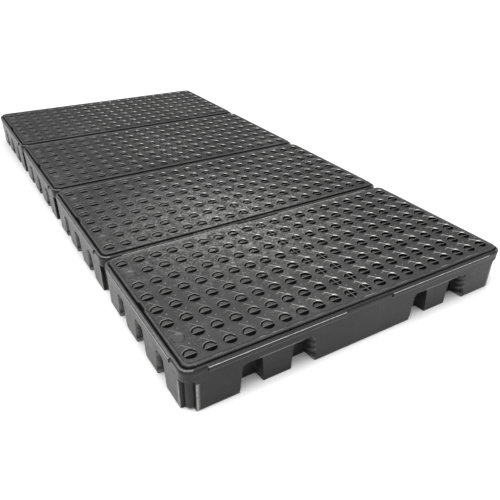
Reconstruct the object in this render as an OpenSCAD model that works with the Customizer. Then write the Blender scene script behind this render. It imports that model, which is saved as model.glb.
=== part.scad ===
// Modular low-profile spill containment pallet.
// Identical black polyethylene modules stand side by side along their long edges. Each module is
// a moulded sump tray with a perforated deck that drops into the tray's rim and lifts straight out.
// X runs along a module's long side, Y across the row of modules, Z up.
// The origin is the centre of the footprint, on the floor.

/* [Modules] */
// Length of one module along X
module_l = 1308; // [1250:1:1360]
// Centre distance from one module to the next along Y
module_pitch = 667; // [660:1:675]
// Gap between two neighbouring modules
module_gap = 2; // [1:0.5:4]
// Height from the floor to the top of the deck's lip
total_h = 165; // [160:1:175]

/* [Tray] */
// Wall thickness of the moulding
wall = 5; // [4:0.5:6]
// Height of the rim's top above the floor
rim_top = 157; // [154:1:158]
// Width of the rim, from the module's edge to the deck's pocket
rim_w = 15; // [14:1:17]
// Height of the band that the rim forms on the outside
rim_band = 20; // [16:1:24]
// How far the outer wall stands back under the rim
wall_inset = 7; // [5:1:9]
// Radius of the module's corners in plan
corner_r = 40; // [36:1:44]
// How far the ledge stands out from the rest of the rim
ledge_out = 4; // [3:1:5]
// Height of the ledge on the rim
ledge_h = 17; // [14:1:18]
// How far the ledge's top lies below the rim's top
ledge_drop = 3; // [2:0.5:4]

/* [Recesses] */
// Depth of the wall recesses, from the module's edge
recess_depth = 58; // [50:1:62]
// Height of the recess roofs above the floor
recess_top = 104; // [100:1:120]
// Radius of the upper corners of the recesses
recess_r = 12; // [8:1:14]
// Further set-back of the narrow wall block between two long-side recesses
block_set_back = 10; // [6:1:12]
// Side of the notch that runs down each corner
corner_notch = 42; // [36:1:44]

/* [Supports] */
// Rows of support pillars across a tray
pillar_rows = 2; // [1:1:2]
// Support pillars in a row
pillar_cols = 4; // [3:1:5]
// Radius of a pillar at the sump floor
pillar_base_r = 40; // [34:1:44]
// Radius of a pillar under the deck
pillar_top_r = 30; // [26:1:33]

/* [Deck] */
// Gap between the deck and the rim, all round
deck_gap = 3; // [2:0.5:4]
// Overall thickness of the deck
deck_h = 38; // [34:1:42]
// Thickness of the deck's top plate
plate_t = 6; // [5:0.5:8]
// Height of the raised lip round the deck
lip_h = 2; // [1:0.5:3]
// Width of the raised lip
lip_w = 12; // [8:1:14]
// Drain holes along the deck
hole_cols = 20; // [20:1:20]
// Drain holes across the deck
hole_rows = 8; // [8:1:8]
// Hole spacing along the deck
hole_pitch_x = 63; // [60:0.5:63.5]
// Hole spacing across the deck
hole_pitch_y = 76.2; // [70:0.1:76.5]
// Radius of a drain hole
hole_r = 19.5; // [16:0.5:20]
// Width of the bar that crosses each hole
bar_w = 6; // [5:0.5:9]
// How far that bar lies in front of the hole's middle
bar_shift = 4.5; // [0:0.5:6]
// Half length of the finger notch in each short edge of the deck
finger_half = 24; // [18:1:30]

/* [Hidden] */
$fn = 48;
// Air between a deck and the surfaces that it lies on
rest_gap = 0.3;
// Tools that cut reach this far past the face that they open
over = 1;

module_count = 4;
module_w = module_pitch - module_gap;
seat_z = total_h - deck_h;
pocket_inset = rim_w;
deck_inset = pocket_inset + deck_gap;
deck_l = module_l - 2 * deck_inset;
deck_w = module_w - 2 * deck_inset;
rib_t = 6;
skirt_t = 6;

// Long-side recesses as [from, to] along X, measured from the module's end; the far half mirrors
long_recesses = [[186, 262], [371, 446]];
// The narrow block between them, set further back than the rest of the wall
long_block = [262, 371];
// Short-side recesses as [centre, width] along Y, measured from the module's middle
side_recesses = [[-162.5, 56], [0, 67], [162.5, 56]];
// Ledges on the rim: distance of their outer end and of their inner end from the module's end
long_ledge = [80, 556];
side_ledge_end = 88;
// Round dimples that take the place of a drain hole, as [column, row]
dimples = [[0, 1], [0, 6]];
dimple_depth = 3;
// Columns whose holes have a second bar, along Y
cross_bar_cols = [9, 10];
cross_bar_w = 4;

function module_y(k) = (k - (module_count + 1) / 2) * module_pitch;
function is_dimple(c, r) = len([for (d = dimples) if (d[0] == c && d[1] == r) d]) > 0;
function has_cross_bar(c) = len([for (b = cross_bar_cols) if (b == c) b]) > 0;
function hole_x(c) = (c - (hole_cols - 1) / 2) * hole_pitch_x;
function hole_y(r) = (r - (hole_rows - 1) / 2) * hole_pitch_y;
function pillar_x(c) = (c - (pillar_cols - 1) / 2) * module_l / (pillar_cols + 1);
function pillar_y(r) = (r - (pillar_rows - 1) / 2) * module_w / (pillar_rows + 1);

// A rectangle about the origin with rounded corners, drawn in from the module's outline by inset
module outline(inset, r) {
    l = module_l - 2 * inset;
    w = module_w - 2 * inset;
    square([l - 2 * r, w], center = true);
    square([l, w - 2 * r], center = true);
    for (sx = [-1, 1], sy = [-1, 1])
        translate([sx * (l / 2 - r), sy * (w / 2 - r)]) circle(r);
}

// Front view of a recess: straight sides and rounded upper corners, standing on the floor
module recess_face(w, h, r) {
    translate([-w / 2, -over]) square([w, h - r + over]);
    translate([-w / 2 + r, 0]) square([w - 2 * r, h]);
    for (s = [-1, 1])
        translate([s * (w / 2 - r), h - r]) circle(r);
}

// One recess cut into the wall that faces -Y, grown by skin so that it can also shape the sump wall
module wall_recess(x, w, depth, skin) {
    translate([x, -module_w / 2 + depth + skin, 0])
        rotate([90, 0, 0])
            linear_extrude(depth + skin + over)
                recess_face(w + 2 * skin, recess_top + skin, recess_r + skin);
}

// The same for the wall that faces -X
module end_recess(y, w, skin) {
    translate([-module_l / 2 - over, y, 0])
        rotate([90, 0, 90])
            linear_extrude(recess_depth + skin + over)
                recess_face(w + 2 * skin, recess_top + skin, recess_r + skin);
}

// Everything that is taken out of the outside of a tray, grown by skin
module outside_cuts(skin) {
    for (mx = [0, 1], my = [0, 1])
        mirror([mx, 0, 0]) mirror([0, my, 0]) {
            for (r = long_recesses)
                wall_recess((r[0] + r[1] - module_l) / 2, r[1] - r[0], recess_depth, skin);
            wall_recess((long_block[0] + long_block[1] - module_l) / 2,
                        long_block[1] - long_block[0] + 2 * recess_r,
                        wall_inset + block_set_back, skin);
            corner_cut(skin);
        }
    for (mx = [0, 1])
        mirror([mx, 0, 0])
            for (r = side_recesses)
                end_recess(r[0], r[1], skin);
}

// The notch that runs down a corner below the rim
module corner_cut(skin) {
    side = corner_notch + skin;
    translate([-module_l / 2 - over, -module_w / 2 - over, -over])
        cube([side + over, side + over, recess_top + skin + over]);
}

// Ledges that stand out from the rim along both long and both short sides
module ledges() {
    ledge_z = rim_top - ledge_drop - ledge_h;
    long_run = long_ledge[1] - long_ledge[0];
    side_run = module_w - 2 * side_ledge_end;
    for (sx = [-1, 1]) {
        for (sy = [-1, 1])
            translate([sx * (module_l - long_ledge[0] - long_ledge[1]) / 2,
                       sy * (module_w - ledge_out) / 2, ledge_z + ledge_h / 2])
                cube([long_run, ledge_out + over, ledge_h], center = true);
        translate([sx * (module_l - ledge_out) / 2, 0, ledge_z + ledge_h / 2])
            cube([ledge_out + over, side_run, ledge_h], center = true);
    }
}

// The outside of the moulding: walls, rim band and ledges. Trimmed to the module's own outline.
module tray_outside() {
    intersection() {
        union() {
            linear_extrude(rim_top - over) outline(wall_inset, corner_r - wall_inset);
            translate([0, 0, rim_top - rim_band])
                linear_extrude(rim_band) outline(ledge_out, corner_r - ledge_out);
            ledges();
        }
        linear_extrude(rim_top) square([module_l, module_w], center = true);
    }
}

// The liquid space, with the recesses left standing as bosses in its walls
module sump_space() {
    difference() {
        translate([0, 0, wall])
            linear_extrude(seat_z - wall + over) outline(pocket_inset + wall, corner_r - pocket_inset);
        outside_cuts(wall);
        pillars(0);
    }
}

// Support pillars; with skin they are drawn in by that much, for the hollow inside
module pillars(skin) {
    for (c = [0 : pillar_cols - 1], r = [0 : pillar_rows - 1])
        translate([pillar_x(c), pillar_y(r), 0])
            cylinder(h = seat_z - rest_gap - skin, r1 = pillar_base_r - skin, r2 = pillar_top_r - skin);
}

module tray() {
    color([0.13, 0.13, 0.14])
        difference() {
            tray_outside();
            sump_space();
            translate([0, 0, seat_z])
                linear_extrude(total_h) outline(pocket_inset, corner_r - pocket_inset);
            outside_cuts(0);
            translate([0, 0, -over]) pillars(wall);
        }
}

// Plan of one drain hole: a large and a small part-moon with a bar between them, and sometimes a
// cross bar that splits both
module drain_hole(c) {
    difference() {
        circle(hole_r);
        translate([0, -bar_shift]) square([2 * hole_r + over, bar_w], center = true);
        if (has_cross_bar(c))
            square([cross_bar_w, 2 * hole_r + over], center = true);
    }
}

// Plan of a deck, with the finger notch in the middle of each short edge
module deck_plan() {
    difference() {
        outline(deck_inset, corner_r - pocket_inset);
        for (s = [-1, 1])
            translate([s * deck_l / 2, 0]) square([lip_w, 2 * finger_half], center = true);
    }
}

module deck_plate() {
    translate([0, 0, total_h - lip_h - plate_t])
        difference() {
            linear_extrude(plate_t)
                difference() {
                    deck_plan();
                    for (c = [0 : hole_cols - 1], r = [0 : hole_rows - 1])
                        if (!is_dimple(c, r))
                            translate([hole_x(c), hole_y(r)]) drain_hole(c);
                }
            for (d = dimples)
                translate([hole_x(d[0]), hole_y(d[1]), plate_t - dimple_depth])
                    cylinder(h = dimple_depth + over, r = hole_r);
        }
}

// Ribs under the plate: one under every row of holes, and one under each column with cross bars
module deck_ribs() {
    rib_h = deck_h - lip_h - plate_t - rest_gap;
    translate([0, 0, seat_z + rest_gap]) {
        for (r = [0 : hole_rows - 1])
            translate([0, hole_y(r) - bar_shift, rib_h / 2])
                cube([deck_l - skirt_t, rib_t, rib_h], center = true);
        for (c = cross_bar_cols)
            translate([hole_x(c), 0, rib_h / 2])
                cube([cross_bar_w, deck_w - skirt_t, rib_h], center = true);
    }
}

// The wall round the deck, from its seat up to the raised lip
module deck_rim() {
    difference() {
        translate([0, 0, seat_z + rest_gap]) linear_extrude(deck_h - rest_gap) deck_plan();
        translate([0, 0, seat_z - over])
            linear_extrude(deck_h - lip_h - plate_t + over)
                outline(deck_inset + skirt_t + lip_w / 2, corner_r - deck_inset);
        translate([0, 0, total_h - lip_h - plate_t - over])
            linear_extrude(plate_t + lip_h + 2 * over)
                outline(deck_inset + lip_w, corner_r - deck_inset);
    }
}

module deck() {
    color([0.16, 0.16, 0.17]) {
        deck_plate();
        deck_ribs();
        deck_rim();
    }
}

// One module per sub-part
module tray_1() { translate([0, module_y(1), 0]) tray(); }
module tray_2() { translate([0, module_y(2), 0]) tray(); }
module tray_3() { translate([0, module_y(3), 0]) tray(); }
module tray_4() { translate([0, module_y(4), 0]) tray(); }
module deck_1() { translate([0, module_y(1), 0]) deck(); }
module deck_2() { translate([0, module_y(2), 0]) deck(); }
module deck_3() { translate([0, module_y(3), 0]) deck(); }
module deck_4() { translate([0, module_y(4), 0]) deck(); }

tray_1();
tray_2();
tray_3();
tray_4();
deck_1();
deck_2();
deck_3();
deck_4();
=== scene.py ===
"""Modular spill containment pallet: four black polyethylene sump trays, each with a lift-out deck."""

import math

import bmesh
import bpy
from mathutils import Matrix, Quaternion, Vector


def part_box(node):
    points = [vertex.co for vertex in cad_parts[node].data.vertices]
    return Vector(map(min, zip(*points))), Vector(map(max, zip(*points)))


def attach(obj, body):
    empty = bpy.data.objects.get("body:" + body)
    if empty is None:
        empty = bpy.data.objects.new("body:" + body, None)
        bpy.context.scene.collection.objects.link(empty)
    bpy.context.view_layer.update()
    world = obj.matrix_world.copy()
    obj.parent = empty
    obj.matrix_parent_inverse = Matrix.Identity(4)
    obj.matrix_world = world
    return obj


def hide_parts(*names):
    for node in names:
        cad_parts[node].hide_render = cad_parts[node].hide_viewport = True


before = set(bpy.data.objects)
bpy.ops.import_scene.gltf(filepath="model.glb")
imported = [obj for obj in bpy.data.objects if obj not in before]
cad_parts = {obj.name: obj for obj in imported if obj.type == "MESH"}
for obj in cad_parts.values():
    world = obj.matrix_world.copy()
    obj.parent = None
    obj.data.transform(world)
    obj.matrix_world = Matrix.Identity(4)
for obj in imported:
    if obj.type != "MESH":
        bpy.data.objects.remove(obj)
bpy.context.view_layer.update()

MM = 0.001
MODULES = (1, 2, 3, 4)

# ---------------------------------------------------------------- sizes taken from the frame

TRAY_LOW, TRAY_HIGH = (Vector(c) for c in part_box("tray_1"))
DECK_LOW, DECK_HIGH = (Vector(c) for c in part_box("deck_1"))
MODULE_L = (TRAY_HIGH.x - TRAY_LOW.x) / MM
MODULE_W = (TRAY_HIGH.y - TRAY_LOW.y) / MM
RIM_TOP = TRAY_HIGH.z / MM
DECK_TOP = DECK_HIGH.z / MM
DECK_BOTTOM = DECK_LOW.z / MM
# The finger notches are only in the middle of the short edges, so the box is the full deck
DECK_L = (DECK_HIGH.x - DECK_LOW.x) / MM
DECK_W = (DECK_HIGH.y - DECK_LOW.y) / MM

# Tray, in millimetres
CORNER_R = 40.0
POCKET_INSET = 15.0
SEAT_Z = 127.0
SUMP_INSET = 20.0
SUMP_FLOOR = 5.0
WALL = 5.0
LEDGE_LOW = 137.0
LEDGE_HIGH = 154.0
RECESS_TOP = 104.0
RECESS_DEPTH = 58.0
RECESS_R = 12.0
# Mould draft: each side of a recess leans in by this much from the floor to the recess's roof
RECESS_DRAFT = 8.0
BLOCK_INSET = 17.0
NOTCH = 42.0
# Radius of the bead that runs down the inner corner of the notch
BEAD_R = 7.0
LONG_RECESSES = ((186.0, 262.0), (371.0, 446.0))
LONG_BLOCK = (240.0, 393.0)
SIDE_RECESSES = ((142.0, 198.0), (299.0, 366.0))
LONG_LEDGE = (80.0, 556.0)
SIDE_LEDGE = 88.0
PILLAR_COLS = 4
PILLAR_ROWS = 2
PILLAR_BASE_R = 40.0
PILLAR_TOP_R = 30.0

# Deck, in millimetres
HOLE_COLS = 20
HOLE_ROWS = 8
PITCH_X = 63.0
PITCH_Y = 76.2
HOLE_R = 19.5
PLATE_T = 6.0
LIP_H = 2.0
# The bar across a hole lies this far from the hole's middle
BAR_Y = -4.5
DECK_CORNER_R = 25.0
CROSS_BAR_COLS = (9, 10)
DIMPLES = ((0, 1), (0, 6))
FINGER_HALF = 24.0
FINGER_DEPTH = 6.0
SURFACE_Z = DECK_TOP - LIP_H
# Below this height the inside of the deck is painted dark as shade
SHADE_Z = SURFACE_Z - 7.0
# Spacing of the points along the deck's edges
EDGE_STEP = 5.0
# Bars across the holes and along the two middle columns: width, height and how far they go down
HOLE_BAR = (3.2, 2.0, 12.0)
LONG_BAR = (3.2, 1.8, 9.0)
# The half-moon web in the rear of a hole: its radius, and how much deeper it lies at the deck's right end
WEB_R = 17.5
WEB_FALL = 5.0
# Wear and painted light, from 0 for untouched plastic to 1 for fully pale: painted highlights on the hole
# bars, long bars, hole rims, ridges, studs, ledge and rim edges, bead, and recess and notch edges; painted
# light on the webs; rubbing and a painted highlight on the short lips; dust in the dimples; rubbing along
# the tray's foot
HOLE_BAR_HIGHLIGHT, LONG_BAR_HIGHLIGHT, HOLE_RIM_HIGHLIGHT, WEB_PAINTED_LIGHT, DIMPLE_WEAR = 0.16, 0.14, 0.26, 0.05, 0.03
RIDGE_HIGHLIGHT, STUD_HIGHLIGHT, SHORT_LIP_WEAR_AND_HIGHLIGHT = 0.50, 0.5, 0.20
LEDGE_TOP_HIGHLIGHT, LEDGE_FOOT_HIGHLIGHT, RIM_EDGE_HIGHLIGHT = 1.3, 0.22, 0.22
BEAD_HIGHLIGHT, RECESS_EDGE_HIGHLIGHT, NOTCH_EDGE_HIGHLIGHT, FOOT_WEAR = 0.30, 0.35, 0.6, 0.2
# How much nearer the rim the lip stands along the long edges, and how far the wall under it stands
# back along the short ones
LONG_EDGE_PROUD = 2.5
SHORT_EDGE_SHY = 2.5
# The lip's ragged inner edge is a sum of these waves: size, length / 2 pi and shift
RAGGED_WAVES = ((1.1, 9.3, 0.6), (0.9, 5.1, 1.9), (0.8, 23.0, 0.0), (0.5, 3.1, 2.2))
# The lip's pale patches, rubbing and a painted highlight, come from these waves: length / 2 pi and shift
PATCH_WAVES = ((61.0, 0.4), (27.0, 1.7), (11.0, 0.2))

# Plastic: shades of its black, of a fully rubbed place, also used for painted highlights, and of the painted
# shade inside
BLACK_SHADES = (0.009, 0.016)
RUBBED_AND_HIGHLIT_SHADE = (0.62, 0.62, 0.61)
SHADED = (0.001, 0.001, 0.001)
# Where drums are slid about most, in metres, and how far from it the scuffs fade out and are full
SCUFF_CENTRE = (-0.12, -0.62, 0.16)
SCUFF_FADE, SCUFF_FULL = 0.62, 0.10


def module_y(k):
    """Y of a module's centre, in millimetres."""
    low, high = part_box(f"tray_{k}")
    return (low[1] + high[1]) / 2 / MM


def vert(bm, x, y, z, wear_and_highlight=0.0):
    """A vertex at a place in millimetres. Its wear value says how pale it is painted, up to 1: rubbing,
    dust, painted highlights.
    """
    made = bm.verts.new((x * MM, y * MM, z * MM))
    made[bm.verts.layers.float["wear_and_highlight"]] = wear_and_highlight
    return made


def new_bmesh():
    """An empty bmesh whose vertices have a value for wear and painted highlights."""
    bm = bmesh.new()
    bm.verts.layers.float.new("wear_and_highlight")
    return bm


def bridge(bm, loops):
    """Faces between each closed loop of vertices and the next."""
    count = len(loops[0])
    for lower, upper in zip(loops, loops[1:]):
        for i in range(count):
            j = (i + 1) % count
            bm.faces.new((lower[i], lower[j], upper[j], upper[i]))


def bridge_and_cap(bm, loops):
    """A closed solid from a stack of loops."""
    bridge(bm, loops)
    bm.faces.new(loops[-1])
    bm.faces.new(list(reversed(loops[0])))


def smooth(edge0, edge1, x):
    """0 below edge0, 1 above edge1, and a smooth step between."""
    t = min(max((x - edge0) / (edge1 - edge0), 0.0), 1.0)
    return t * t * (3 - 2 * t)


# ---------------------------------------------------------------- materials


def new_material(name):
    """A material and what is needed to build it: its nodes, its links and its main shader."""
    mat = bpy.data.materials.new(name)
    mat.use_nodes = True
    nodes = mat.node_tree.nodes
    return mat, nodes, mat.node_tree.links, nodes["Principled BSDF"]


def noise(nodes, links, coord, scale, detail=6.0, roughness=0.6, distortion=0.0):
    """A noise value from 0 to 1 at a coordinate."""
    tex = nodes.new("ShaderNodeTexNoise")
    tex.inputs["Scale"].default_value = scale
    tex.inputs["Detail"].default_value = detail
    tex.inputs["Roughness"].default_value = roughness
    tex.inputs["Distortion"].default_value = distortion
    links.new(coord, tex.inputs["Vector"])
    return tex.outputs["Fac"]


def ramp(nodes, links, value, stops):
    """A colour ramp from (position, grey or colour) stops."""
    node = nodes.new("ShaderNodeValToRGB")
    elements = node.color_ramp.elements
    while len(elements) < len(stops):
        elements.new(0.5)
    for element, (place, shade) in zip(elements, stops):
        element.position = place
        element.color = (*shade, 1) if isinstance(shade, tuple) else (shade, shade, shade, 1)
    links.new(value, node.inputs["Fac"])
    return node.outputs["Color"]


def math_node(nodes, links, op, a, b, clamp=False):
    """One arithmetic step between two sockets or numbers."""
    node = nodes.new("ShaderNodeMath")
    node.operation = op
    node.use_clamp = clamp
    for socket, value in zip(node.inputs, (a, b)):
        if isinstance(value, (int, float)):
            socket.default_value = value
        else:
            links.new(value, socket)
    return node.outputs[0]


def step_up(nodes, links, value, low, high):
    """0 where value is at low and 1 where it is at high, in a straight line between."""
    node = nodes.new("ShaderNodeMapRange")
    node.inputs["From Min"].default_value = low
    node.inputs["From Max"].default_value = high
    links.new(value, node.inputs["Value"])
    return node.outputs["Result"]


def mix_colour(nodes, links, factor, a, b):
    """From a at factor 0 to b at factor 1; each may be a socket, a number or a colour."""
    node = nodes.new("ShaderNodeMix")
    node.data_type = "RGBA"
    for socket, value in ((node.inputs[0], factor), (node.inputs[6], a), (node.inputs[7], b)):
        if isinstance(value, (int, float)):
            socket.default_value = value
        elif isinstance(value, tuple):
            socket.default_value = (*value, 1)
        else:
            links.new(value, socket)
    return node.outputs[2]


def black_polyethylene(name, dust, dark_below, gloss):
    """Semi-matte black moulded plastic: pebbled grain, mottled sheen, rubbed edges and painted highlights,
    speckle and pale scuffs.
    dust scales the speckle and scuffs, and gloss is the strength of reflections. Faces below the height
    dark_below are painted nearly black as shade inside the deck."""
    mat, nodes, links, shader = new_material(name)
    place = nodes.new("ShaderNodeTexCoord").outputs["Object"]
    geometry = nodes.new("ShaderNodeNewGeometry")
    facing = nodes.new("ShaderNodeSeparateXYZ")
    links.new(geometry.outputs["Normal"], facing.inputs[0])
    upward = ramp(nodes, links, facing.outputs["Z"], ((0.55, 0.0), (0.95, 1.0)))
    where = nodes.new("ShaderNodeSeparateXYZ")
    links.new(place, where.inputs[0])
    lit = step_up(nodes, links, where.outputs["Z"], dark_below - 0.004, dark_below)

    low_shade, high_shade = BLACK_SHADES
    mottle = noise(nodes, links, place, 9.0, 8.0, 0.65)
    mottle = ramp(nodes, links, mottle, ((0.3, low_shade), (0.7, high_shade)))
    speck = ramp(nodes, links, noise(nodes, links, place, 260.0, 3.0, 0.75), ((0.60, 0.0), (0.70, 1.0)))

    # Pale scuffs: streaked patches, most of them in the middle of the row, where drums are slid about
    reach = nodes.new("ShaderNodeVectorMath")
    reach.operation = "DISTANCE"
    links.new(place, reach.inputs[0])
    reach.inputs[1].default_value = SCUFF_CENTRE
    middle = step_up(nodes, links, reach.outputs["Value"], SCUFF_FADE, SCUFF_FULL)
    patch = ramp(nodes, links, noise(nodes, links, place, 3.4, 5.0, 0.62, 0.4), ((0.47, 0.0), (0.66, 1.0)))
    patch = math_node(nodes, links, "MULTIPLY", patch, 0.3)
    patch = math_node(nodes, links, "MAXIMUM", patch, middle)
    streak = ramp(nodes, links, noise(nodes, links, place, 48.0, 9.0, 0.78, 1.4), ((0.45, 0.0), (0.62, 1.0)))
    fine = ramp(nodes, links, noise(nodes, links, place, 230.0, 4.0, 0.8), ((0.40, 0.0), (0.66, 1.0)))
    scuff = math_node(nodes, links, "MULTIPLY", patch, streak)
    scuff = math_node(nodes, links, "MULTIPLY", scuff, fine)
    scuff = math_node(nodes, links, "MULTIPLY", scuff, upward)
    scuff = math_node(nodes, links, "MULTIPLY", scuff, dust, clamp=True)

    # Rubbed places and painted highlights on edges, ridges and rims, where the mesh's per-vertex value says
    # so, broken up by grit
    rubbed_and_highlit = nodes.new("ShaderNodeAttribute")
    rubbed_and_highlit.attribute_name = "wear_and_highlight"
    grit = ramp(nodes, links, noise(nodes, links, place, 160.0, 4.0, 0.8), ((0.36, 0.35), (0.62, 1.0)))
    worn_and_highlit = math_node(nodes, links, "MULTIPLY", rubbed_and_highlit.outputs["Fac"], grit)

    film = math_node(nodes, links, "MULTIPLY", upward, 0.010 * dust)
    pale = math_node(nodes, links, "MULTIPLY", speck, 0.14 * dust)
    pale = math_node(nodes, links, "ADD", pale, film)
    pale = math_node(nodes, links, "ADD", pale, worn_and_highlit)
    pale = math_node(nodes, links, "MAXIMUM", pale, scuff, clamp=True)
    colour = mix_colour(nodes, links, pale, mottle, RUBBED_AND_HIGHLIT_SHADE)
    # Painted shade: faces below dark_below are mixed towards the near-black shade colour
    lit = ramp(nodes, links, lit, ((0.0, 0.15), (1.0, 1.0)))
    colour = mix_colour(nodes, links, lit, SHADED, colour)
    links.new(colour, shader.inputs["Base Color"])

    sheen = ramp(nodes, links, noise(nodes, links, place, 28.0, 6.0, 0.7), ((0.3, 0.26), (0.75, 0.40)))
    rough = mix_colour(nodes, links, pale, sheen, (0.85, 0.85, 0.85))
    rough = mix_colour(nodes, links, lit, (0.9, 0.9, 0.9), rough)
    links.new(rough, shader.inputs["Roughness"])
    shader.inputs["Specular IOR Level"].default_value = gloss
    shader.inputs["IOR"].default_value = 1.5

    pebble = noise(nodes, links, place, 330.0, 4.0, 0.6)
    wave = noise(nodes, links, place, 34.0, 3.0, 0.5)
    fine_bump = nodes.new("ShaderNodeBump")
    fine_bump.inputs["Strength"].default_value = 0.5
    fine_bump.inputs["Distance"].default_value = 0.0009
    links.new(pebble, fine_bump.inputs["Height"])
    broad_bump = nodes.new("ShaderNodeBump")
    broad_bump.inputs["Strength"].default_value = 0.35
    broad_bump.inputs["Distance"].default_value = 0.0016
    links.new(wave, broad_bump.inputs["Height"])
    links.new(fine_bump.outputs["Normal"], broad_bump.inputs["Normal"])
    links.new(broad_bump.outputs["Normal"], shader.inputs["Normal"])
    return mat


# ---------------------------------------------------------------- tray


def perimeter():
    """Samples round a module's outline: (side, distance along it) or (corner, angle), closer at features."""
    def side_samples(length, edges):
        places = set()
        step_count = round((length - 2 * CORNER_R) / 14)
        for i in range(step_count + 1):
            places.add(round(CORNER_R + i * (length - 2 * CORNER_R) / step_count, 2))
        for edge in edges:
            for offset in (-7, -4.5, -2.5, -0.9, 0.9, 2.5, 4.5, 7):
                for place in (edge + offset, length - edge + offset):
                    if CORNER_R <= place <= length - CORNER_R:
                        places.add(round(place, 2))
        for place in (NOTCH - 1, NOTCH + 1, NOTCH + 3):
            places.add(place)
            places.add(length - place)
        ordered = [sorted(places)[0]]
        for place in sorted(places)[1:]:
            if place - ordered[-1] > 0.8:
                ordered.append(place)
        return ordered

    long_edges = [e for pair in (*LONG_RECESSES, LONG_LEDGE) for e in pair]
    side_edges = [e for pair in SIDE_RECESSES for e in pair] + [SIDE_LEDGE]
    points = []
    for side, (length, edges) in enumerate(
        ((MODULE_L, long_edges), (MODULE_W, side_edges), (MODULE_L, long_edges), (MODULE_W, side_edges))
    ):
        points += [("side", side, place) for place in side_samples(length, edges)]
        points += [("corner", side, (i + 0.5) / 14 * math.pi / 2) for i in range(14)]
    return points


HALF_L, HALF_W = MODULE_L / 2, MODULE_W / 2
# Each side's start point, direction and outward normal, going anticlockwise from the front left
SIDES = (
    (Vector((-HALF_L, -HALF_W)), Vector((1, 0)), Vector((0, -1)), MODULE_L),
    (Vector((HALF_L, -HALF_W)), Vector((0, 1)), Vector((1, 0)), MODULE_W),
    (Vector((HALF_L, HALF_W)), Vector((-1, 0)), Vector((0, 1)), MODULE_L),
    (Vector((-HALF_L, HALF_W)), Vector((0, -1)), Vector((-1, 0)), MODULE_W),
)


def recess_mask(side, s, z, grow=0.0):
    """1 inside a wall recess, 0 outside, with soft edges, drafted sides and rounded upper corners."""
    length = SIDES[side][3]
    lean = RECESS_DRAFT * (0.5 - min(z / RECESS_TOP, 1.0))
    best = 0.0
    for low, high in LONG_RECESSES if side % 2 == 0 else SIDE_RECESSES:
        for a, b in ((low, high), (length - high, length - low)):
            half = (b - a) / 2 + grow + lean
            dx = abs(s - (a + b) / 2) - (half - RECESS_R)
            dz = z - (RECESS_TOP + grow - RECESS_R)
            outside = math.hypot(max(dx, 0), max(dz, 0)) + min(max(dx, dz), 0) - RECESS_R
            best = max(best, 1 - smooth(-2.4, 2.4, outside))
    return best


def block_mask(side, s, z):
    """1 on the narrow wall block between two long-side recesses."""
    if side % 2:
        return 0.0
    best = 0.0
    for a, b in (LONG_BLOCK, (MODULE_L - LONG_BLOCK[1], MODULE_L - LONG_BLOCK[0])):
        best = max(best, smooth(a - 3, a + 3, s) * (1 - smooth(b - 3, b + 3, s)))
    return best * (1 - smooth(RECESS_TOP - 6, RECESS_TOP + 8, z))


def ledge_mask(side, s):
    """1 along the crisp ledge that stands out from the rim."""
    if side % 2:
        return smooth(SIDE_LEDGE - 1, SIDE_LEDGE + 1, s) * (1 - smooth(-1, 1, s - MODULE_W + SIDE_LEDGE))
    low, high = LONG_LEDGE
    best = 0.0
    for a, b in ((low, high), (MODULE_L - high, MODULE_L - low)):
        best = max(best, smooth(a - 1, a + 1, s) * (1 - smooth(b - 1, b + 1, s)))
    return best


def outline_point(point, inset):
    """The plan position of a perimeter sample drawn in by inset."""
    kind, side, value = point
    start, along, out, length = SIDES[side]
    if kind == "side":
        return start + along * value - out * inset
    centre = start + along * (length - CORNER_R) - out * CORNER_R
    radius = max(CORNER_R - inset, 0.5)
    return centre + (out * math.cos(value) + along * math.sin(value)) * radius


def notch_point(point, inset):
    """The plan position of a sample once the corner notch has been cut, down the corner's two faces."""
    kind, side, value = point
    start, along, out, length = SIDES[side]
    if kind == "side":
        if value > length / 2:
            t = smooth(length - NOTCH - 1, length - NOTCH + 1, value)
        else:
            t = 1 - smooth(NOTCH - 1, NOTCH + 1, value)
        if t == 0:
            return outline_point(point, inset)
        s = min(max(value, NOTCH), length - NOTCH)
        return start + along * s - out * (inset + t * 3)
    # On the corner arc the samples run in along one face, over a bead and out along the other
    corner = start + along * length
    inner = corner - along * NOTCH - out * NOTCH
    share = value / (math.pi / 2)
    run = NOTCH - inset - 3
    if share < 0.32:
        return inner + out * (run - (run - BEAD_R - 0.5) * share / 0.32)
    if share > 0.68:
        return inner + along * (run - (run - BEAD_R - 0.5) * (1 - share) / 0.32)
    turn = (share - 0.32) / 0.36 * math.pi / 2
    return inner + (out * math.cos(turn) + along * math.sin(turn)) * BEAD_R


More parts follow.
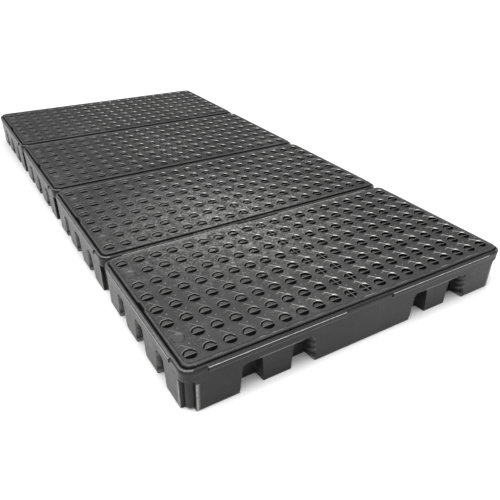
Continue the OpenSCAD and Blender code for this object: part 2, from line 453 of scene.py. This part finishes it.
def tray_rings():
    """The profile from the underside, up the wall, over the rim and down to the sump floor.
    Each ring is (height, inset off the ledge, inset on the ledge, which surface)."""
    outer = [(0.0, 11.5), (0.8, 9.6), (2.4, 8.2), (5.0, 7.5), (9.0, 7.2)]
    heights = (20, 42, 64, 80, 88, 92, 95, 98, 100.5, 102.5, 104.5, 106.5, 108.5, 111, 115, 122, 130)
    outer += [(z, 7.2 - 1.9 * z / 130) for z in heights]
    rings = [(z, i, i, "outer") for z, i in outer]
    rim = (
        (LEDGE_LOW - 2.0, 5.2, 5.2), (LEDGE_LOW - 0.6, 5.0, 4.0), (LEDGE_LOW, 4.9, 1.2),
        (LEDGE_LOW + 0.8, 4.8, 0.3), (LEDGE_LOW + 2.5, 4.6, 0.0), (LEDGE_LOW + 9, 4.2, 0.0),
        (LEDGE_HIGH - 2.2, 4.8, 0.0), (LEDGE_HIGH - 0.8, 5.6, 0.3), (LEDGE_HIGH, 6.4, 1.2),
        (RIM_TOP - 2.2, 7.4, 4.6), (RIM_TOP - 1.2, 8.8, 6.6), (RIM_TOP - 0.4, 10.4, 9.0),
        (RIM_TOP, 12.0, 11.5), (RIM_TOP, 13.8, 13.8), (RIM_TOP - 0.4, 14.7, 14.7),
    )
    rings += [(z, plain, ledged, "rim") for z, plain, ledged in rim]
    rings += [(z, POCKET_INSET, POCKET_INSET, "rim") for z in (RIM_TOP - 3.5, SEAT_Z + 2, SEAT_Z)]
    rings += [(SEAT_Z, SUMP_INSET - 1, SUMP_INSET - 1, "rim"), (SEAT_Z - 1, SUMP_INSET, SUMP_INSET, "inner")]
    inner_heights = (120, 114, 111, 109, 107, 105, 103, 100, 92, 70, 40, 16)
    rings += [(z, SUMP_INSET, SUMP_INSET, "inner") for z in inner_heights]
    rings += [(SUMP_FLOOR + up, SUMP_INSET + d, SUMP_INSET + d, "inner") for up, d in ((3, 1), (0, 5))]
    return rings


def tray_wear_and_highlights(point, z, surface):
    """How pale the tray is painted: painted highlights, most on the ledges' upper edges and some on the rim,
    the bead, the notches and the edges of the recesses, and real rubbing along the foot."""
    kind, side, value = point
    if surface == "rim":
        on_ledge = ledge_mask(side, value) if kind == "side" else 0.0
        # Painted highlight along the ledge's upper edge, a fainter one along its foot and one on the rim's
        # outer edge
        if abs(z - LEDGE_HIGH + 0.8) < 0.1:
            return LEDGE_TOP_HIGHLIGHT * on_ledge
        if abs(z - LEDGE_LOW) < 1.0:
            return LEDGE_FOOT_HIGHLIGHT * on_ledge
        if kind == "corner" or side % 2:
            return RIM_EDGE_HIGHLIGHT if RIM_TOP - 2.5 < z < RIM_TOP - 0.3 and z > LEDGE_HIGH else 0.0
        return 0.0
    if surface == "outer":
        # Painted highlight down the bead in the notch's inner corner
        if kind == "corner":
            share = value / (math.pi / 2)
            on_bead = 1 - smooth(0.08, 0.16, abs(share - 0.5))
            return BEAD_HIGHLIGHT * on_bead if z < RECESS_TOP + 4 else 0.0
        mask = max(recess_mask(side, value, z), block_mask(side, value, z))
        # Painted highlights along the recess and notch edges; real rubbing along the foot
        edge = RECESS_EDGE_HIGHLIGHT if 0.03 < mask < 0.45 else 0.0
        length = SIDES[side][3]
        if z < RECESS_TOP and min(abs(value - NOTCH - 2), abs(length - NOTCH - 2 - value)) < 1.5:
            edge = NOTCH_EDGE_HIGHLIGHT
        return max(edge, FOOT_WEAR if z < 1 else 0.0)
    return 0.0


def tray_mesh():
    """One closed surface swept round the module's outline, with its support pillars."""
    points = perimeter()
    rings = tray_rings()
    bm = new_bmesh()
    rows = []
    for z, plain, ledged, surface in rings:
        row = []
        for point in points:
            kind, side, value = point
            inset = plain
            if kind == "side" and surface == "rim":
                inset = plain + (ledged - plain) * ledge_mask(side, value)
            notch_in = 0.0
            if surface == "outer":
                if kind == "side":
                    recess = recess_mask(side, value, z) * RECESS_DEPTH
                    inset = max(inset, recess, block_mask(side, value, z) * BLOCK_INSET)
                notch_in = 1 - smooth(RECESS_TOP + 2, RECESS_TOP + 12, z)
            elif surface == "inner" and kind == "side":
                inset = max(inset, recess_mask(side, value, z, WALL) * (RECESS_DEPTH + WALL))
            plan = outline_point(point, inset)
            if notch_in > 0:
                plan = plan.lerp(notch_point(point, inset), notch_in)
            row.append(vert(bm, plan.x, plan.y, z, tray_wear_and_highlights(point, z, surface)))
        rows.append(row)
    bridge(bm, rows)
    bm.faces.new(list(reversed(rows[0])))
    bm.faces.new(rows[-1])
    add_pillars(bm)
    return finished_mesh(bm, "tray_mesh")


def finished_mesh(bm, name):
    """The bmesh as a mesh with its normals facing out."""
    bmesh.ops.recalc_face_normals(bm, faces=bm.faces)
    mesh = bpy.data.meshes.new(name)
    bm.to_mesh(mesh)
    bm.free()
    return mesh


def add_pillars(bm):
    """Tapered posts that stand on the sump floor and carry the deck."""
    # Height and radius, from below the sump floor up
    profile = (
        (SUMP_FLOOR - 2, PILLAR_BASE_R + 6), (SUMP_FLOOR + 1, PILLAR_BASE_R + 2),
        (SUMP_FLOOR + 6, PILLAR_BASE_R),
        (SEAT_Z - 6, PILLAR_TOP_R + 1), (SEAT_Z - 2, PILLAR_TOP_R - 1), (SEAT_Z - 0.5, PILLAR_TOP_R - 5),
    )
    sides = 40
    for col in range(PILLAR_COLS):
        for row in range(PILLAR_ROWS):
            cx = (col - (PILLAR_COLS - 1) / 2) * MODULE_L / (PILLAR_COLS + 1)
            cy = (row - (PILLAR_ROWS - 1) / 2) * MODULE_W / (PILLAR_ROWS + 1)
            loops = []
            for z, r in profile:
                loops.append([
                    vert(bm, cx + r * math.cos(a), cy + r * math.sin(a), z)
                    for a in (2 * math.pi * i / sides for i in range(sides))
                ])
            bridge_and_cap(bm, loops)


# ---------------------------------------------------------------- deck


def cell_frame():
    """Points round one cell's edge, evenly spaced on each side so that neighbours share them."""
    per_x, per_y = 10, 12
    hx, hy = PITCH_X / 2, PITCH_Y / 2
    ring = [Vector((-hx + PITCH_X * i / per_x, -hy)) for i in range(per_x)]
    ring += [Vector((hx, -hy + PITCH_Y * i / per_y)) for i in range(per_y)]
    ring += [Vector((hx - PITCH_X * i / per_x, hy)) for i in range(per_x)]
    ring += [Vector((-hx, hy - PITCH_Y * i / per_y)) for i in range(per_y)]
    return ring


CELL_RING = cell_frame()
# Rings of a drain hole, from below the plate, where it widens, up over its rounded edge: (radius, drop)
HOLE_PROFILE = ((25.0, 12.0), (22.5, 6.5), (20.4, 4.4), (19.5, 3.3), (19.6, 2.2), (20.2, 1.2), (21.2, 0.5),
                (22.4, 0.12), (23.6, 0.0))
# Rings of a round dimple, from its centre out
DIMPLE_PROFILE = ((4.0, 3.0), (10.0, 3.0), (15.0, 3.0), (17.0, 2.9), (18.4, 2.0), (19.2, 0.8), (20.2, 0.2),
                  (21.6, 0.0))


def highlight_falloff(x):
    """How strong the painted highlights on the tread are along the deck: little at the left end, full from
    near the middle.
    """
    return 0.30 + 0.70 * smooth(-480, 0, x)


def add_cell(bm, cx, cy, dimple):
    """The deck's top round one hole, out to the cell's edge."""
    profile = DIMPLE_PROFILE if dimple else HOLE_PROFILE
    loops = []
    for radius, drop in profile:
        loop = []
        for p in CELL_RING:
            out = p.normalized()
            # Painted highlight on the rear arc of the hole's rounded rim; dust on a dimple's floor
            wear_and_highlight = HOLE_RIM_HIGHLIGHT * smooth(0.1, 0.6, out.y) if 0.3 < drop < 1.6 else 0.0
            if dimple and drop > 2.8:
                wear_and_highlight = DIMPLE_WEAR
            loop.append(vert(bm, cx + radius * out.x, cy + radius * out.y, SURFACE_Z - drop, wear_and_highlight))
        loops.append(loop)
    last = profile[-1][0]
    for share in (0.45, 1.0):
        loop = []
        for p in CELL_RING:
            place = p.normalized() * last * (1 - share) + p * share
            loop.append(vert(bm, cx + place.x, cy + place.y, SURFACE_Z))
        loops.append(loop)
    count = len(CELL_RING)
    for inner, outer in zip(loops, loops[1:]):
        for i in range(count):
            j = (i + 1) % count
            bm.faces.new((inner[i], outer[i], outer[j], inner[j]))
    if dimple:
        bm.faces.new(loops[0])


# Rings of a ridge or bar, from its foot up: share of its height and share of its width
PILL_RINGS = ((0.0, 1.0), (0.55, 0.93), (0.85, 0.72), (1.0, 0.40))


def add_pill(bm, centre, length, width, height, angle, depth, wear_and_highlight=0.0):
    """A low rounded bar with round ends: the tread ridges and the bars across holes. Its foot goes
    depth below its centre's height, and its crown is height above it."""
    segments = 6
    half = max(length / 2 - width / 2, 0)
    outline = []
    for end in (1, -1):
        for i in range(segments + 1):
            a = -math.pi / 2 + math.pi * i / segments
            outline.append((end * half, end * width / 2 * math.cos(a), end * width / 2 * math.sin(a)))
    # The crown is painted paler by the wear value, which holds painted highlights
    levels = [(-depth, 1.0, 0.0)] + [(rise * height, scale, wear_and_highlight * rise) for rise, scale in PILL_RINGS]
    loops = []
    for level, scale, rubbed_and_highlit in levels:
        loop = []
        for along, dx, dy in outline:
            x, y = along + dx * scale, dy * scale
            loop.append(vert(bm, centre.x + x * math.cos(angle) - y * math.sin(angle),
                             centre.y + x * math.sin(angle) + y * math.cos(angle), centre.z + level, rubbed_and_highlit))
        loops.append(loop)
    bridge_and_cap(bm, loops)


def add_half_floor(bm, cx, cy):
    """The half-moon web in the rear half of a drain hole, which leaves an open slot along the hole's arc."""
    segments = 16
    # Share of the radius and drop below the deck's surface, from the web's underside over its rounded edge
    profile = ((0.9, 6.0), (1.0, 2.6), (0.96, 1.9), (0.90, 1.6))
    sunk = WEB_FALL * smooth(-350, 0, cx)
    loops = []
    for share, drop in profile:
        loop = []
        for i in range(segments + 1):
            a = math.pi * i / segments
            x, y = WEB_R * share * math.cos(a), BAR_Y + (WEB_R + 2) * share * math.sin(a)
            # Painted light on the web's rounded top, only where it lies high, towards the deck's left end
            wear_and_highlight = WEB_PAINTED_LIGHT if drop + sunk < 2 else 0.0
            loop.append(vert(bm, cx + x, cy + y, SURFACE_Z - drop - sunk, wear_and_highlight))
        loops.append(loop)
    bridge_and_cap(bm, loops)


def deck_outline():
    """The deck's rounded plan outline with its two finger notches: place, outward direction and edge."""
    hx, hy = DECK_L / 2, DECK_W / 2
    r = DECK_CORNER_R
    points = []
    corners = ((hx - r, -hy + r, -90), (hx - r, hy - r, 0), (-hx + r, hy - r, 90), (-hx + r, -hy + r, 180))
    for index, (cx, cy, start) in enumerate(corners):
        for i in range(13):
            a = math.radians(start + 90 * i / 12)
            points.append((Vector((cx, cy)), Vector((math.cos(a), math.sin(a))), None))
        # The run to the next corner
        nx, ny, nstart = corners[(index + 1) % 4]
        a = math.radians(nstart)
        out = Vector((math.cos(a), math.sin(a)))
        begin, finish = Vector((cx, cy)), Vector((nx, ny))
        steps = int((finish - begin).length / EDGE_STEP)
        for i in range(1, steps):
            points.append((begin.lerp(finish, i / steps), out, index))
    result = []
    for centre, out, run in points:
        place = centre + out * r
        if run in (0, 2):
            dip = 1 - smooth(FINGER_HALF - 5, FINGER_HALF + 3, abs(place.y))
            place -= out * dip * FINGER_DEPTH
        result.append((place, out, run))
    return result


def ragged(place, run):
    """How far the inner edge of the lip wanders in, along the deck's long edges."""
    if run not in (1, 3):
        return 0.0
    wander = sum(size * math.sin(place.x / wave + shift) for size, wave, shift in RAGGED_WAVES)
    return wander * smooth(-DECK_L / 2 + 40, -DECK_L / 2 + 260, place.x)


def lip_wear_and_highlight(place, run, inset):
    """The lip's crest is painted pale, for rubbing and a painted highlight: in patches along the long edges,
    and evenly at the short ones.
    """
    if not 4 < inset < 7:
        return 0.0
    if run not in (1, 3):
        return SHORT_LIP_WEAR_AND_HIGHLIGHT
    patch = sum(math.sin(place.x / wave + shift) for wave, shift in PATCH_WAVES)
    return 0.10 + 0.45 * smooth(-0.6, 1.6, patch)


def add_deck_edge(bm):
    """The deck's outer wall, its rounded raised lip and the blend from the lip to the flat top."""
    flat = SURFACE_Z - DECK_BOTTOM
    # Inset from the deck's outline, height above its underside, and share of the ragged inner edge
    profile = [
        (7.0, 0.0, 0), (1.2, 0.0, 0), (0.3, 0.9, 0), (0.0, 2.4, 0), (0.0, flat * 0.5, 0),
        (0.0, flat - 9.0, 0), (0.0, flat - 3.0, 0), (0.2, flat - 0.8, 0), (0.9, flat + 0.8, 0),
        (2.2, flat + LIP_H - 0.35, 0),
        (4.0, flat + LIP_H, 0), (6.0, flat + LIP_H - 0.1, 0.4), (7.6, flat + LIP_H - 0.6, 0.9),
        (8.8, flat + 0.5, 1), (10.4, flat + 0.12, 1), (12.5, flat + 0.02, 1), (16.0, flat - 1.5, 1),
    ]
    rows = []
    for inset, rise, wavy in profile:
        row = []
        # Along its long edges the upper part of the wall stands nearer to the rim
        proud = LONG_EDGE_PROUD * (smooth(flat - 10, flat - 2, rise) if inset < 3 else 0)
        for place, out, run in deck_outline():
            shy = SHORT_EDGE_SHY * (1 - smooth(flat - 3, flat, rise)) if run in (0, 2) else 0
            p = place - out * (inset + shy + wavy * ragged(place, run) - (proud if run in (1, 3) else 0))
            row.append(vert(bm, p.x, p.y, DECK_BOTTOM + rise, lip_wear_and_highlight(place, run, inset)))
        rows.append(row)
    bridge(bm, rows)


def add_under_ribs(bm):
    """Ribs below the plate, under each row of holes and under the two middle columns."""
    def rib(x0, x1, y0, y1):
        z0, z1 = DECK_BOTTOM, SURFACE_Z - PLATE_T
        corners = ((x0, y0), (x1, y0), (x1, y1), (x0, y1))
        low, high = ([vert(bm, x, y, z) for x, y in corners] for z in (z0, z1))
        bm.faces.new(list(reversed(low)))
        bm.faces.new(high)
        for i in range(4):
            j = (i + 1) % 4
            bm.faces.new((low[i], low[j], high[j], high[i]))

    for r in range(HOLE_ROWS):
        cy = row_y(r)
        rib(-DECK_L / 2 + 3, DECK_L / 2 - 3, cy + BAR_Y - 1.2, cy + BAR_Y + 1.2)
    for c in CROSS_BAR_COLS:
        cx = column_x(c)
        rib(cx - 2, cx + 2, -DECK_W / 2 + 3, DECK_W / 2 - 3)


def column_x(c):
    return (c - (HOLE_COLS - 1) / 2) * PITCH_X


def row_y(r):
    return (r - (HOLE_ROWS - 1) / 2) * PITCH_Y


def hole_places():
    """Column, row and centre of each place in the deck's grid."""
    for c in range(HOLE_COLS):
        for r in range(HOLE_ROWS):
            yield c, r, column_x(c), row_y(r)


def deck_mesh():
    """The deck: its perforated top, bars, webs, tread, edge and ribs."""
    bm = new_bmesh()
    for c, r, cx, cy in hole_places():
        add_cell(bm, cx, cy, (c, r) in DIMPLES)
    bmesh.ops.remove_doubles(bm, verts=bm.verts, dist=0.02 * MM)
    width, height, depth = HOLE_BAR
    for c, r, cx, cy in hole_places():
        if (c, r) not in DIMPLES:
            middle = Vector((cx, cy + BAR_Y, SURFACE_Z - 1.4))
            # The bar's crown carries a painted highlight
            add_pill(bm, middle, 2 * HOLE_R + 3, width, height, 0.0, depth, HOLE_BAR_HIGHLIGHT)
            add_half_floor(bm, cx, cy)
        add_ridges(bm, cx, cy, r)
    width, height, depth = LONG_BAR
    for c in CROSS_BAR_COLS:
        cx = column_x(c)
        middle = Vector((cx, 0, SURFACE_Z - 1.2))
        # The long bar's crown carries a painted highlight
        add_pill(bm, middle, DECK_W - 26, width, height, math.pi / 2, depth, LONG_BAR_HIGHLIGHT)
    add_deck_edge(bm)
    add_under_ribs(bm)
    return finished_mesh(bm, "deck_mesh")


def add_ridges(bm, cx, cy, r):
    """Tread: a ridge that falls to the right between this hole and the one in front, with a short bar
    at its upper end, a small stud beside it, and a collar on the hole's rear right edge."""
    if r > 0:
        # Ridges and studs carry painted highlights, stronger towards the middle of the deck
        rubbed_and_highlit = RIDGE_HIGHLIGHT * highlight_falloff(cx)
        add_pill(bm, Vector((cx - 0.5, cy - 42.5, SURFACE_Z)), 31, 4.8, 1.2, math.radians(-53), 1.0, rubbed_and_highlit)
        add_pill(bm, Vector((cx - 15, cy - 38, SURFACE_Z)), 16, 4.4, 0.8, math.radians(4), 1.0, 0.5 * rubbed_and_highlit)
        add_pill(bm, Vector((cx + 16.5, cy - 37, SURFACE_Z)), 4.2, 4.2, 1.2, 0.0, 1.0, STUD_HIGHLIGHT)
    add_collar(bm, cx, cy)


def add_collar(bm, cx, cy):
    """The raised crescent that stands on the rear right edge of a hole."""
    segments, start, end = 10, math.radians(34), math.radians(80)
    # The collar's crown carries a painted highlight, stronger towards the middle of the deck
    rubbed_and_highlit = 2.2 * highlight_falloff(cx) - 0.55
    # Distance out from the collar's middle line, and height
    profile = ((-2.4, -1.4), (-2.0, 0.1), (-1.2, 1.0), (0.2, 1.5), (1.6, 1.1), (2.8, 0.2), (3.4, -0.8))
    ring = HOLE_R + 2.6
    rows = []
    for i in range(segments + 1):
        share = i / segments
        a = start + (end - start) * share
        swell = math.sin(math.pi * (0.06 + 0.88 * share)) ** 0.5
        rows.append([
            vert(bm, cx + (ring + d * swell) * math.cos(a), cy + (ring + d * swell) * math.sin(a),
                 SURFACE_Z + (h * swell if h > 0 else h), rubbed_and_highlit * swell if h > 0 else 0.0)
            for d, h in profile
        ])
    for row, following in zip(rows, rows[1:]):
        for i in range(len(profile) - 1):
            bm.faces.new((row[i], row[i + 1], following[i + 1], following[i]))
        bm.faces.new((row[-1], row[0], following[0], following[-1]))
    bm.faces.new(rows[0])
    bm.faces.new(list(reversed(rows[-1])))


# ---------------------------------------------------------------- build


def add_piece(name, master, number, material, body, node):
    """A copy of a master mesh, moved to its module, that rides on a body and stands for a CAD node."""
    mesh = master.copy()
    mesh.name = name
    mesh.transform(Matrix.Translation((0, module_y(number) * MM, 0)))
    mesh.materials.append(material)
    for polygon in mesh.polygons:
        polygon.use_smooth = True
    mesh.set_sharp_from_angle(angle=math.radians(50))
    piece = bpy.data.objects.new(name, mesh)
    bpy.context.scene.collection.objects.link(piece)
    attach(piece, body)
    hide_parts(node)


deck_black = black_polyethylene("deck_black", 0.9, SHADE_Z * MM, 0.5)
tray_black = black_polyethylene("tray_black", 0.35, 0.0, 0.22)
tray_master, deck_master = tray_mesh(), deck_mesh()
for k in MODULES:
    add_piece(f"tray_{k}_moulding", tray_master, k, tray_black, "base", f"tray_{k}")
    add_piece(f"deck_{k}_panel", deck_master, k, deck_black, f"lift_deck_{k}", f"deck_{k}")
bpy.data.meshes.remove(tray_master)
bpy.data.meshes.remove(deck_master)
for cad_name, cad_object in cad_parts.items():
    cad_object.data.materials.clear()
    cad_object.data.materials.append(deck_black if cad_name.startswith("deck") else tray_black)


# ---------------------------------------------------------------- floor, light and camera


def add_floor():
    """A plain white floor, large enough to fill the view."""
    mesh = bpy.data.meshes.new("floor")
    size = 40.0
    corners = [(-size, -size, 0), (size, -size, 0), (size, size, 0), (-size, size, 0)]
    mesh.from_pydata(corners, [], [(0, 1, 2, 3)])
    floor = bpy.data.objects.new("floor", mesh)
    bpy.context.scene.collection.objects.link(floor)
    mat, nodes, links, shader = new_material("floor_white")
    place = nodes.new("ShaderNodeTexCoord").outputs["Object"]
    shade = ramp(nodes, links, noise(nodes, links, place, 1.5), ((0.3, 0.88), (0.7, 0.91)))
    links.new(shade, shader.inputs["Base Color"])
    shader.inputs["Roughness"].default_value = 0.8
    mesh.materials.append(mat)


def add_area(name, place, target, size, power):
    """A rectangular lamp that points at a target."""
    data = bpy.data.lights.new(name, "AREA")
    data.shape = "RECTANGLE"
    data.size, data.size_y = size
    data.energy = power
    lamp = bpy.data.objects.new(name, data)
    bpy.context.scene.collection.objects.link(lamp)
    lamp.location = place
    lamp.rotation_euler = (Vector(target) - Vector(place)).to_track_quat("-Z", "Y").to_euler()


def add_world():
    """A studio that is bright overhead and dim towards the horizon."""
    world = bpy.data.worlds.new("studio")
    bpy.context.scene.world = world
    world.use_nodes = True
    nodes, links = world.node_tree.nodes, world.node_tree.links
    direction = nodes.new("ShaderNodeSeparateXYZ")
    links.new(nodes.new("ShaderNodeTexCoord").outputs["Generated"], direction.inputs[0])
    sky = ramp(nodes, links, direction.outputs["Z"], ((0.0, 0.04), (0.45, 0.09), (0.75, 0.80), (1.0, 1.0)))
    links.new(sky, nodes["Background"].inputs["Color"])
    nodes["Background"].inputs["Strength"].default_value = 2.1


def add_camera():
    """The viewing angle of a person standing at the near left corner, looking down across the row."""
    data = bpy.data.cameras.new("camera")
    camera = bpy.data.objects.new("camera", data)
    bpy.context.scene.collection.objects.link(camera)
    image_px, focal_px = 500, 535.9
    data.sensor_width = 36.0
    data.lens = data.sensor_width * focal_px / image_px
    heading, down, roll = math.radians(31.82), math.radians(30.42), math.radians(0.84)
    look = Vector((math.sin(heading) * math.cos(down), math.cos(heading) * math.cos(down), -math.sin(down)))
    camera.location = (-1.0483, -2.2943, 1.1428)
    camera.rotation_mode = "QUATERNION"
    camera.rotation_quaternion = look.to_track_quat("-Z", "Y") @ Quaternion((0, 0, 1), roll)
    bpy.context.scene.camera = camera


bpy.context.scene.view_settings.view_transform = "Standard"
add_floor()
add_world()
add_area("overhead", (-0.9, -1.3, 3.2), (-0.1, -0.5, 0.1), (2.0, 1.2), 70)
add_area("front_fill", (-2.1, -3.0, 1.1), (-0.4, -1.0, 0.1), (1.6, 1.2), 6)
add_camera()
